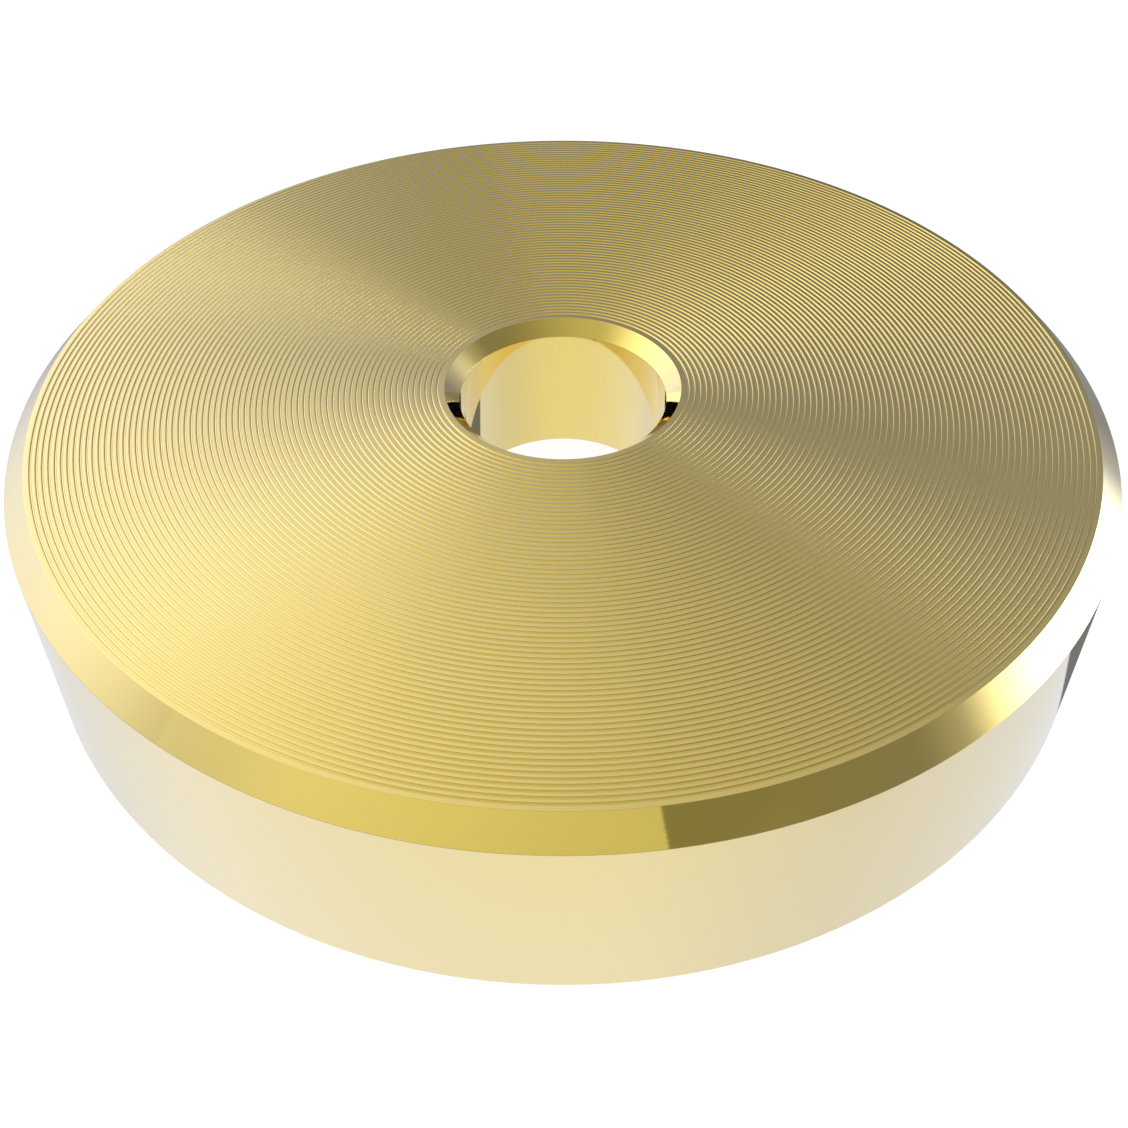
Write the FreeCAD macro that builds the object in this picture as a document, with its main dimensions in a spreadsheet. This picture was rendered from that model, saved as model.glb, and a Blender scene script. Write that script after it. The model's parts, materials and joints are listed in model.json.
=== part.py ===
"""A record spindle adapter: the turned brass disc that fills the large centre hole of a single.

It stands on its underside as it would on a turntable's platter, with the origin at the centre of the
foot and +Z up along the bore. The real one is turned from bar in one piece, so the model is made in the
same order: a plain blank from one half section, then the rings that are cut over its top face.
All sizes are in millimetres.
"""

import FreeCAD
import Part
import Sketcher
import math
import os

# Each driving size has a name, a value and a few words on what it measures.
SIZES = (
    ("outer_diameter", 38.1, "round wall that fills the record's hole"),
    ("thickness", 7.28, "foot to top face"),
    ("rim_chamfer", 0.8, "45 degree chamfer round the top of the wall"),
    ("bore_diameter", 7.3, "hole for the turntable's spindle"),
    ("mouth_chamfer", 0.5, "45 degree chamfer that leads the spindle into the bore"),
    ("recess_diameter", 16.0, "recess under the disc, clear of the spindle's collar"),
    ("recess_depth", 1.9, "depth of that recess, up from the foot"),
    ("rim_land", 0.15, "plain ring between the rim chamfer and the outermost groove"),
    ("ring_pitch", 0.55, "step from one ring groove to the next"),
    ("ring_root_depth", 0.1, "bottom of a groove, below the top face"),
    ("ring_crest_depth", 0.02, "ridge between two grooves, below the top face"),
)

doc = FreeCAD.newDocument("record_spindle_adapter")
sheet = doc.addObject("Spreadsheet::Sheet", "Sizes")
for row, (alias, value, meaning) in enumerate(SIZES, start=1):
    sheet.set(f"A{row}", alias)
    sheet.set(f"B{row}", str(value))
    sheet.setAlias(f"B{row}", alias)
    sheet.set(f"C{row}", meaning)
doc.recompute()

body = doc.addObject("PartDesign::Body", "adapter_body")
body.Label = "adapter_body"


def sketch_on_section_plane(name):
    """A sketch on the body's XZ plane: its own X is the radius, its own Y is the height above the foot."""
    plane = next(datum for datum in body.Origin.OriginFeatures if datum.Role == "XZ_Plane")
    sketch = body.newObject("Sketcher::SketchObject", name)
    sketch.AttachmentSupport = [(plane, "")]
    sketch.MapMode = "FlatFace"
    doc.recompute()
    return sketch


def draw_outline(sketch, corners):
    """A closed outline of straight lines; line i runs from corner i to the next corner."""
    points = [FreeCAD.Vector(radius, height, 0) for radius, height in corners]
    for start, end in zip(points, points[1:] + points[:1]):
        sketch.addGeometry(Part.LineSegment(start, end), False)
    for line in range(len(points)):
        following = (line + 1) % len(points)
        sketch.addConstraint(Sketcher.Constraint("Coincident", line, 2, following, 1))


def bind(sketch, constraint, formula):
    """Add a dimension and bind it to a formula on the sheet."""
    index = sketch.addConstraint(constraint)
    sketch.setExpression(f"Constraints[{index}]", formula)


def bind_corner(sketch, line, corner, radius_formula, height_formula):
    """Hold the first end of a line at a radius and a height, both formulas on the sheet."""
    radius, height = corner
    bind(sketch, Sketcher.Constraint("DistanceX", -1, 1, line, 1, radius), radius_formula)
    bind(sketch, Sketcher.Constraint("DistanceY", -1, 1, line, 1, height), height_formula)


def revolve_all_round(feature, sketch):
    """Turn a sketch once round the Z axis."""
    feature.Profile = sketch
    feature.ReferenceAxis = (sketch, ["V_Axis"])
    feature.Angle = 360.0
    doc.recompute()


# The blank: the half section of the disc with its bore, its recess and its two chamfers.
outer_radius = sheet.outer_diameter / 2
bore_radius = sheet.bore_diameter / 2
recess_radius = sheet.recess_diameter / 2
top = sheet.thickness
section_corners = (
    (bore_radius, sheet.recess_depth),
    (recess_radius, sheet.recess_depth),
    (recess_radius, 0.0),
    (outer_radius, 0.0),
    (outer_radius, top - sheet.rim_chamfer),
    (outer_radius - sheet.rim_chamfer, top),
    (bore_radius + sheet.mouth_chamfer, top),
    (bore_radius, top - sheet.mouth_chamfer),
)
section = sketch_on_section_plane("half_section")
draw_outline(section, section_corners)
ceiling, recess_wall, foot, wall, rim, face, mouth, bore = range(len(section_corners))
for level_line in (ceiling, foot, face):
    section.addConstraint(Sketcher.Constraint("Horizontal", level_line))
for upright_line in (recess_wall, wall, bore):
    section.addConstraint(Sketcher.Constraint("Vertical", upright_line))
section.addConstraint(Sketcher.Constraint("PointOnObject", foot, 1, -1))
for line, radius, formula in (
    (bore, bore_radius, "Sizes.bore_diameter / 2"),
    (recess_wall, recess_radius, "Sizes.recess_diameter / 2"),
    (wall, outer_radius, "Sizes.outer_diameter / 2"),
):
    bind(section, Sketcher.Constraint("DistanceX", -1, 1, line, 1, radius), formula)
for line, height, formula in (
    (ceiling, sheet.recess_depth, "Sizes.recess_depth"),
    (face, top, "Sizes.thickness"),
):
    bind(section, Sketcher.Constraint("DistanceY", -1, 1, line, 1, height), formula)
# Both chamfers slope at 45 degrees: the rim's inwards and up, the mouth's inwards and down.
for line, run, rise, run_formula, rise_formula in (
    (rim, -sheet.rim_chamfer, sheet.rim_chamfer, "-Sizes.rim_chamfer", "Sizes.rim_chamfer"),
    (mouth, -sheet.mouth_chamfer, -sheet.mouth_chamfer, "-Sizes.mouth_chamfer", "-Sizes.mouth_chamfer"),
):
    bind(section, Sketcher.Constraint("DistanceX", line, 1, line, 2, run), run_formula)
    bind(section, Sketcher.Constraint("DistanceY", line, 1, line, 2, rise), rise_formula)
doc.recompute()

blank = body.newObject("PartDesign::Revolution", "turned_blank")
revolve_all_round(blank, section)
blank_volume = body.Shape.Volume

# The rings: one zigzag from the rim land in towards the mouth, at an even pitch. As many whole rings are
# cut as leave a little of the face plain round the mouth, counted in pitches. The outline is closed in
# the air, one pitch above the face.
least_plain_pitches = 0.25
rings_start = outer_radius - sheet.rim_chamfer - sheet.rim_land
rings_width = rings_start - bore_radius - sheet.mouth_chamfer
ring_count = math.floor(rings_width / sheet.ring_pitch - least_plain_pitches)
start_formula = "Sizes.outer_diameter / 2 - Sizes.rim_chamfer - Sizes.rim_land"
step_formula = "Sizes.ring_pitch / 2"
face_level = (top, "Sizes.thickness")
crest_level = (top - sheet.ring_crest_depth, "Sizes.thickness - Sizes.ring_crest_depth")
root_level = (top - sheet.ring_root_depth, "Sizes.thickness - Sizes.ring_root_depth")
air_level = (top + sheet.ring_pitch, "Sizes.thickness + Sizes.ring_pitch")
last_step = 2 * ring_count

zigzag = [(0, face_level)]
for step in range(1, last_step):
    zigzag.append((step, root_level if step % 2 else crest_level))
zigzag += [(last_step, face_level), (last_step, air_level), (0, air_level)]
ring_corners = [(rings_start - step * sheet.ring_pitch / 2, height) for step, (height, formula) in zigzag]

rings = sketch_on_section_plane("ring_section")
draw_outline(rings, ring_corners)
for line, (step, (height, height_formula)) in enumerate(zigzag):
    radius_formula = f"{start_formula} - {step} * {step_formula}"
    bind_corner(rings, line, ring_corners[line], radius_formula, height_formula)
doc.recompute()

ring_grooves = body.newObject("PartDesign::Groove", "ring_grooves")
revolve_all_round(ring_grooves, rings)
body.Tip = ring_grooves
doc.recompute()

for item in doc.Objects:
    if "Invalid" in item.State or "Error" in item.State:
        raise RuntimeError(f"{item.Name} did not build: {item.State}")
if body.Shape.isNull() or not body.Shape.isValid() or len(body.Shape.Solids) != 1:
    raise RuntimeError(f"{body.Label} is not one sound solid")
if body.Shape.Volume >= blank_volume:
    raise RuntimeError("the ring grooves cut nothing from the blank")
print(f"{body.Label}: {ring_count} rings, {body.Shape.Volume:.1f} mm3, blank {blank_volume:.1f} mm3")

os.makedirs("parts", exist_ok=True)
body.Shape.exportStep(f"parts/{body.Label}.step")
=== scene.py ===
"""A record spindle adapter: a turned brass disc, standing on a pale floor under soft studio light."""

import json
import math

import bpy
import numpy as np
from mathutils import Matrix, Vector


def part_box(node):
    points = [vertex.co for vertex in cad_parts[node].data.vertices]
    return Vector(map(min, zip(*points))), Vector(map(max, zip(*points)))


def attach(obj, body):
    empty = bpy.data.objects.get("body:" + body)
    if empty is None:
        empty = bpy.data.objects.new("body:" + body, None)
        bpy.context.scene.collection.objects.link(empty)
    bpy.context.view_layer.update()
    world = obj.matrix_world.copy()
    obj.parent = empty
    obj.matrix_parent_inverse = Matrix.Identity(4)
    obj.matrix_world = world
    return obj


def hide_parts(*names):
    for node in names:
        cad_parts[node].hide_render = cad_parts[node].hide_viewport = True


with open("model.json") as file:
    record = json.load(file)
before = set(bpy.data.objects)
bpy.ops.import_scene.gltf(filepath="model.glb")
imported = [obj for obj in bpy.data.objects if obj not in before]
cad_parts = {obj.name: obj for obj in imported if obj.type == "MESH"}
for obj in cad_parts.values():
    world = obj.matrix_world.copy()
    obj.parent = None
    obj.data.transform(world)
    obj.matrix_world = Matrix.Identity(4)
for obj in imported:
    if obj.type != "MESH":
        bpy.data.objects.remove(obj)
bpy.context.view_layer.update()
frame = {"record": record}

# The disc: one piece of brass, parted from round bar, turned all over, polished and lacquered. Its wall
# fills the record's hole, fine rings cover its face, and the bore for the spindle opens into a recess
# underneath. It stands on its foot, and nothing is fixed to it.
MILLIMETRE = 0.001
mounts = {mount["name"]: mount for mount in frame["record"]["mounts"]}
bore, rim = mounts["spindle_bore"], mounts["record_rim"]
highest_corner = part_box("adapter_body")[1]
wall_radius, face_height = highest_corner.x, highest_corner.z
wall_top = rim["pos_m"][2] + rim["dims"]["length_mm"] / 2 * MILLIMETRE
bore_radius = bore["dims"]["r_mm"] * MILLIMETRE
bore_top = bore["pos_m"][2] + bore["dims"]["length_mm"] / 2 * MILLIMETRE
bore_foot = bore["pos_m"][2] - bore["dims"]["length_mm"] / 2 * MILLIMETRE
recess_radius = 8.0 * MILLIMETRE
face_radius = wall_radius - (face_height - wall_top)
mouth_radius = bore_radius + (face_height - bore_top)

rim_land = 0.168 * MILLIMETRE
ring_pitch = 0.2003 * MILLIMETRE
ring_half_width = 0.05 * MILLIMETRE
ring_depth = 0.045 * MILLIMETRE
ring_edge_share = 0.045
ring_count = 69
ring_steps = 6
edge_steps = 5
segments = 168


def broken_corners(corners, radii, steps):
    """Every corner of a closed outline, rounded off by an arc that touches both of its sides. A point of
    the arc is the arc's centre plus the radius along a normal that swings from the one side's outward
    normal to the other's; where the outline turns back on itself, the arc lies in the hollow."""
    along = np.roll(corners, -1, axis=0) - corners
    along /= np.linalg.norm(along, axis=1, keepdims=True)
    after = np.stack([along[:, 1], -along[:, 0]], axis=1)
    before = np.roll(after, 1, axis=0)
    start = np.arctan2(before[:, 1], before[:, 0])
    turn = (np.arctan2(after[:, 1], after[:, 0]) - start + np.pi) % (2 * np.pi) - np.pi
    bulge = np.sign(turn) * radii
    halfway = (before + after) / (1 + np.sum(before * after, axis=1))[:, None]
    centres = corners - bulge[:, None] * halfway
    angles = start[:, None] + turn[:, None] * np.linspace(0, 1, steps)
    normals = np.stack([np.cos(angles), np.sin(angles)], axis=2)
    return centres[:, None] + bulge[:, None, None] * normals, normals


def ring_grooves(outer_edge, face_height, count, pitch, half_width, depth, edge_share, steps):
    """Round-bottomed grooves side by side across a flat face, from the rim inwards. A point of a groove lies
    off the groove's middle by the half width times an angle's cosine, and below the face by the depth times
    its sine; the angle swings through half a turn, less a small share of it at each edge. A level point on
    either side ends the flat land."""
    angle = np.linspace(edge_share, 1 - edge_share, steps) * np.pi
    outwards = half_width * np.concatenate([[1], np.cos(angle), [-1]])
    drop = depth * np.concatenate([[0], np.sin(angle), [0]])
    slope = np.stack([-depth * np.cos(angle), half_width * np.sin(angle)], axis=1)
    slope /= np.linalg.norm(slope, axis=1, keepdims=True)
    upright = [(0, 1)]
    normals = np.concatenate([upright, slope, upright])
    middles = outer_edge - half_width - pitch * np.arange(count)[:, None]
    points = np.stack([(middles + outwards).ravel(), np.tile(face_height - drop, count)], axis=1)
    return points, np.tile(normals, (count, 1))


def carried_round(name, outline, outline_normals, finish, segments):
    """A closed outline of (radius, height) points carried once round the Z axis: each point becomes a
    circle, and neighbouring circles are joined by four-cornered faces, the last to the first as well. The
    outline's normals go round with it, and each point's finish is kept as an attribute."""
    angle = np.linspace(0, 2 * np.pi, segments, endpoint=False)[:, None]
    around = np.stack([np.cos(angle), np.sin(angle), np.ones_like(angle)], axis=2)
    points = around * outline[:, [0, 0, 1]]
    normals = around * outline_normals[:, [0, 0, 1]]
    place = np.arange(points.size // 3).reshape(segments, len(outline))
    onward, next_circle = np.roll(place, -1, axis=0), np.roll(place, -1, axis=1)
    faces = np.stack([place, onward, np.roll(onward, -1, axis=1), next_circle], axis=2).reshape(-1, 4)

    mesh = bpy.data.meshes.new(name)
    mesh.vertices.add(place.size)
    mesh.vertices.foreach_set("co", points.ravel())
    mesh.loops.add(faces.size)
    mesh.loops.foreach_set("vertex_index", faces.ravel())
    mesh.polygons.add(len(faces))
    mesh.polygons.foreach_set("loop_start", np.arange(0, faces.size, 4))
    mesh.polygons.foreach_set("use_smooth", np.ones(len(faces), dtype=bool))
    mesh.attributes.new("finish", "FLOAT", "POINT").data.foreach_set("value", np.tile(finish, segments))
    mesh.update(calc_edges=True)
    mesh.validate()
    mesh.normals_split_custom_set_from_vertices(normals.reshape(-1, 3))
    made = bpy.data.objects.new(name, mesh)
    bpy.context.scene.collection.objects.link(made)
    return made


# The half section's corners, from the bore's foot outwards under the disc, up the wall and back over the
# face. Each has its radius and height, the radius of its broken edge, and the finish of the side after it,
# from 0 for polished to 1 for as cut. The rings come before the mouth's corner.
section = np.array([
    (bore_radius, bore_foot, 0.05 * MILLIMETRE, 1.0),
    (recess_radius, bore_foot, 0.15 * MILLIMETRE, 1.0),
    (recess_radius, 0.0, 0.05 * MILLIMETRE, 1.0),
    (wall_radius, 0.0, 0.04 * MILLIMETRE, 0.0),
    (wall_radius, wall_top, 0.03 * MILLIMETRE, 0.0),
    (face_radius, face_height, 0.02 * MILLIMETRE, 0.6),
    (mouth_radius, face_height, 0.02 * MILLIMETRE, 0.0),
    (bore_radius, bore_top, 0.03 * MILLIMETRE, 0.2),
])
mouth_corner = 6
corners, edge_radii, side_finish = section[:, :2], section[:, 2], section[:, 3]
edges, edge_normals = broken_corners(corners, edge_radii, edge_steps)
edge_finish = np.linspace(np.roll(side_finish, 1), side_finish, edge_steps, axis=1)
rings, ring_normals = ring_grooves(
    face_radius - rim_land,
    face_height,
    ring_count,
    ring_pitch,
    ring_half_width,
    ring_depth,
    ring_edge_share,
    ring_steps,
)
ring_finish = np.full(len(rings), side_finish[mouth_corner - 1])


def with_rings(edge_values, ring_values):
    """Values along the whole outline: the edges' up to the rim, then the rings', then the mouth's edges'."""
    listed = edge_values.reshape(-1, *edge_values.shape[2:])
    face_end = mouth_corner * edge_steps
    return np.concatenate([listed[:face_end], ring_values, listed[face_end:]])


disc = carried_round(
    "disc",
    with_rings(edges, rings),
    with_rings(edge_normals, ring_normals),
    with_rings(edge_finish, ring_finish),
    segments,
)


class Wire:
    """A socket of a node tree. A sum on it adds Math nodes, and node() adds a node of any other kind."""

    def __init__(self, tree, socket=None):
        self.tree = tree
        self.socket = socket

    def node(self, kind, settings=None, inputs=None, output=0):
        """Adds a node: its settings first, then the values or wires of its sockets."""
        made = self.tree.nodes.new(kind)
        for name, value in (settings or {}).items():
            setattr(made, name, value)
        for place, value in (inputs or {}).items():
            if isinstance(value, Wire):
                self.tree.links.new(value.socket, made.inputs[place])
            else:
                made.inputs[place].default_value = value
        return Wire(self.tree, made.outputs[output] if made.outputs else None)

    def output(self, name):
        """Another output of the node that this wire comes from."""
        return Wire(self.tree, self.socket.node.outputs[name])

    def math(self, operation, *values):
        """Adds a Math node on values or wires, in the order of its sockets."""
        return self.node("ShaderNodeMath", {"operation": operation}, dict(enumerate(values)))

    def __add__(self, other):
        return self.math("ADD", self, other)

    def __sub__(self, other):
        return self.math("SUBTRACT", self, other)

    def __rsub__(self, other):
        return self.math("SUBTRACT", other, self)

    def __mul__(self, other):
        return self.math("MULTIPLY", self, other)

    def __truediv__(self, other):
        return self.math("DIVIDE", self, other)

    def __pow__(self, other):
        return self.math("POWER", self, other)

    __radd__ = __add__
    __rmul__ = __mul__


# Lacquered brass: gold where it is seen square on, and paling to white towards a glancing look. The lathe
# leaves fine rings in the metal, which show as streaks that run round the disc.
brass_gold = (0.85, 0.655, 0.14, 1.0)
gold_edge = (0.95, 0.87, 0.5, 1.0)
glancing_white = (1.0, 1.0, 1.0, 1.0)
paling = 1.4
polished_roughness = 0.02
cut_roughness = 0.09
streak_roughness = 0.03
streaks_per_metre = 9000.0
streak_detail = 3.0
streak_depth = 0.02 * MILLIMETRE
streak_strength = 0.02
plain_blend = 0.5

turned_brass = bpy.data.materials.new("turned_brass")
turned_brass.use_nodes = True
turned_brass.node_tree.nodes.clear()
brass = Wire(turned_brass.node_tree)
position = brass.node("ShaderNodeTexCoord", output="Object")
across = brass.node("ShaderNodeSeparateXYZ", inputs={"Vector": position})
radius = (across * across + across.output("Y") * across.output("Y")) ** 0.5
section_place = brass.node("ShaderNodeCombineXYZ", inputs={"X": radius, "Y": across.output("Z")})
streaks = brass.node(
    "ShaderNodeTexNoise",
    inputs={"Vector": section_place, "Scale": streaks_per_metre, "Detail": streak_detail},
)
cut = brass.node("ShaderNodeAttribute", {"attribute_name": "finish"}, output="Fac")
roughness = polished_roughness + cut_roughness * cut + streak_roughness * streaks
tool_marks = brass.node(
    "ShaderNodeBump",
    inputs={"Height": streaks, "Strength": streak_strength, "Distance": streak_depth},
)
metals = [
    brass.node(
        "ShaderNodeBsdfPrincipled",
        inputs={
            "Base Color": colour,
            "Metallic": 1.0,
            "Roughness": roughness,
            "Specular Tint": edge_tint,
            "Normal": tool_marks,
        },
    )
    for colour, edge_tint in ((brass_gold, gold_edge), (glancing_white, glancing_white))
]
glancing = brass.node("ShaderNodeLayerWeight", inputs={"Blend": plain_blend}, output="Facing")
lacquered = brass.node("ShaderNodeMixShader", inputs={0: glancing**paling, 1: metals[0], 2: metals[1]})
brass.node("ShaderNodeOutputMaterial", inputs={"Surface": lacquered})
disc.data.materials.append(turned_brass)

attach(disc, "root")
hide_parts("adapter_body")

# The floor: a wide sheet of white paper that the disc stands on, a hair below the foot. It is lit to white
# and takes a faint shadow. The metal sees the studio's own floor in its place, and from below the paper is
# see-through, so that the foot and the recess show.
floor_half = 1.5
floor_drop = 0.01 * MILLIMETRE
paper_glow = 0.93
paper_grey = (0.2, 0.2, 0.2, 1.0)

sheet = bpy.data.meshes.new("floor")
corner_signs = np.array([(-1, -1), (1, -1), (1, 1), (-1, 1)])
floor_corners = np.column_stack([floor_half * corner_signs, np.full(4, -floor_drop)])
sheet.from_pydata(floor_corners, [], [(0, 1, 2, 3)])
floor = bpy.data.objects.new("floor", sheet)
floor.visible_glossy = False
bpy.context.scene.collection.objects.link(floor)
white_paper = bpy.data.materials.new("white_paper")
white_paper.use_nodes = True
white_paper.node_tree.nodes.clear()
paper = Wire(white_paper.node_tree)
lit_paper = paper.node(
    "ShaderNodeAddShader",
    inputs={
        0: paper.node("ShaderNodeEmission", inputs={"Strength": paper_glow}),
        1: paper.node("ShaderNodeBsdfDiffuse", inputs={"Color": paper_grey}),
    },
)
from_below = paper.node("ShaderNodeNewGeometry", output="Backfacing")
see_through = paper.node("ShaderNodeBsdfTransparent")
one_sided = paper.node("ShaderNodeMixShader", inputs={0: from_below, 1: lit_paper, 2: see_through})
paper.node("ShaderNodeOutputMaterial", inputs={"Surface": one_sided})
floor.data.materials.append(white_paper)

# The studio: a grey room painted by direction, with a broad soft light on the left, a high fill, a wide
# panel in front, a bright oval on the right and a dimmer patch behind. The camera itself sees white. Places
# are in degrees: bearing 0 is behind the disc, 90 to its right, and elevation is above the floor.
world = bpy.data.worlds.new("studio")
bpy.context.scene.world = world
world.use_nodes = True
world.node_tree.nodes.clear()
studio = Wire(world.node_tree)
looking = studio.node("ShaderNodeTexCoord", output="Generated")
x_axis = studio.node("ShaderNodeSeparateXYZ", inputs={"Vector": looking})
y_axis, z_axis = x_axis.output("Y"), x_axis.output("Z")
degrees = 180 / math.pi
bearing = studio.math("ARCTAN2", x_axis, y_axis) * degrees
front_bearing = studio.math("ARCTAN2", x_axis, 0 - y_axis) * degrees
elevation = studio.math("ARCSINE", z_axis) * degrees


def eased(value, start, end):
    """0 at the start and 1 at the end, whichever is the larger, and level beyond them. Between them it is
    three times the square of the share of the way, less twice its cube."""
    forward = start < end
    low, high = (start, end) if forward else (end, start)
    return studio.node(
        "ShaderNodeMapRange",
        {"interpolation_type": "SMOOTHSTEP"},
        {1: low, 2: high, 3: 0.0 if forward else 1.0, 4: 1.0 if forward else 0.0, "Value": value},
    )


def reach_along(direction):
    """How far the direction of the look reaches along another direction: the dot product of the two."""
    return studio.node(
        "ShaderNodeVectorMath", {"operation": "DOT_PRODUCT"}, {0: looking, 1: direction}, output="Value"
    )


def round_light(level, bearing_to, elevation_to, full, gone):
    """The level within one angle of a place in the room, 0 beyond a wider angle, and eased between them.
    The angle is the arc cosine of how far the look reaches along the place's direction."""
    turn, lift = math.radians(bearing_to), math.radians(elevation_to)
    place = (math.sin(turn) * math.cos(lift), math.cos(turn) * math.cos(lift), math.sin(lift))
    return level * eased(studio.math("ARCCOSINE", reach_along(place)) * degrees, gone, full)


room_level = 0.267
key_light = (
    round_light(level=0.8, bearing_to=-55, elevation_to=19.1, full=14.2, gone=70.6)
    + round_light(level=0.272, bearing_to=-77.4, elevation_to=28.9, full=4.2, gone=30.4)
    + round_light(level=0.368, bearing_to=-91.2, elevation_to=49.6, full=0, gone=28.9)
)
high_fill = round_light(level=0.361, bearing_to=-75, elevation_to=65.2, full=29.7, gone=75)
dim_back = round_light(level=0.576, bearing_to=3.8, elevation_to=22.1, full=8, gone=28.9)

# The front panel, whose bearings count from straight in front. Its left end fades, with a fine crease that
# is sharpest at one elevation. Its right end is sharp and leans at the elevation that the rim's chamfer
# reflects, and is soft elsewhere.
panel_level = 0.44
panel_left_fade = (-77.6, -46.6)
panel_right_fade = (49.1, -7.2)
panel_top_fade = (47, 40)
panel_foot_fade = (-30, 25)
crease_share = 0.14
crease_bearing = -73.7
crease_elevation = 19.5
crease_fade = (-0.4, 0.4)
crease_softening = 0.06
chamfer_elevation = 34.1
chamfer_full = 2
chamfer_gone = 5
sharp_fade = (19.0, 18.4)
sharp_lean = 0.25
crease_width = 1 + crease_softening * (elevation - crease_elevation) ** 2
crease = eased((front_bearing - crease_bearing) / crease_width, *crease_fade)
left_end = crease_share * crease + (1 - crease_share) * eased(front_bearing, *panel_left_fade)
above_chamfer = elevation - chamfer_elevation
at_chamfer = eased(above_chamfer**2, chamfer_gone**2, chamfer_full**2)
sharp_end = eased(front_bearing + sharp_lean * above_chamfer, *sharp_fade)
right_end = sharp_end * at_chamfer + eased(front_bearing, *panel_right_fade) * (1 - at_chamfer)
upright_fade = eased(elevation, *panel_top_fade) * eased(elevation, *panel_foot_fade)
front_panel = panel_level * left_end * right_end * upright_fade

# The oval on the right: a strong core with a faint halo, both eased over shares of the oval's half sizes.
oval_bearing = 79.4
oval_elevation = 1.8
oval_half_width = 30.3
oval_half_height = 25.0
core_level = 2.77
core_fade = (1.15, 0.36)
halo_level = 0.297
halo_fade = (1.48, 0.9)
across_oval = (bearing - oval_bearing) / oval_half_width
up_oval = (elevation - oval_elevation) / oval_half_height
off_oval = (across_oval * across_oval + up_oval * up_oval) ** 0.5
side_light = core_level * eased(off_oval, *core_fade) + halo_level * eased(off_oval, *halo_fade)

# The floor that the metal sees: brighter in front, with a straight far edge and a shaded corner beyond it.
floor_level = 0.785
front_glow = 0.15
glow_right_fade = (78, 0)
glow_left_fade = (-134, -78)
floor_fade = (-24, -33)
far_edge_direction = (0.4425, 0.949, 1.0)
far_edge_fade = (0.006, -0.006)
corner_shade = round_light(level=0.09, bearing_to=52, elevation_to=-45, full=16, gone=27)
glow = front_glow * eased(front_bearing, *glow_right_fade) * eased(front_bearing, *glow_left_fade)
on_floor = eased(elevation, *floor_fade) * eased(reach_along(far_edge_direction), *far_edge_fade)
lights = (room_level + key_light + high_fill + front_panel + side_light) * (1 - dim_back)
level = (lights - corner_shade) * (1 - on_floor) + (floor_level + glow) * on_floor

white_level = 1.0
to_camera = studio.node("ShaderNodeLightPath", output="Is Camera Ray")
shown = studio.node("ShaderNodeMix", {"data_type": "FLOAT"}, {0: to_camera, 2: level, 3: white_level})
neutral_white = (1.0, 1.0, 1.0, 1.0)
backdrop = studio.node("ShaderNodeBackground", inputs={"Color": neutral_white, "Strength": shown})
studio.node("ShaderNodeOutputWorld", inputs={"Surface": backdrop})

# The camera: a normal lens, close in front of the disc and above it, looking down at the face. The frame is
# square, and the small shift centres the disc as the photograph has it.
camera_back = 39.062 * MILLIMETRE
camera_height = 35.948 * MILLIMETRE
camera_tilt = math.radians(46.229)

view_lens = bpy.data.cameras.new("camera")
view_lens.sensor_width = 36.0
view_lens.lens = 43.665
view_lens.shift_x = 0.00097
view_lens.clip_start = 1 * MILLIMETRE
camera = bpy.data.objects.new("camera", view_lens)
camera.location = (0.0, -camera_back, camera_height)
camera.rotation_euler = (camera_tilt, 0.0, 0.0)
bpy.context.scene.collection.objects.link(camera)
bpy.context.scene.camera = camera
bpy.context.scene.view_settings.view_transform = "Standard"
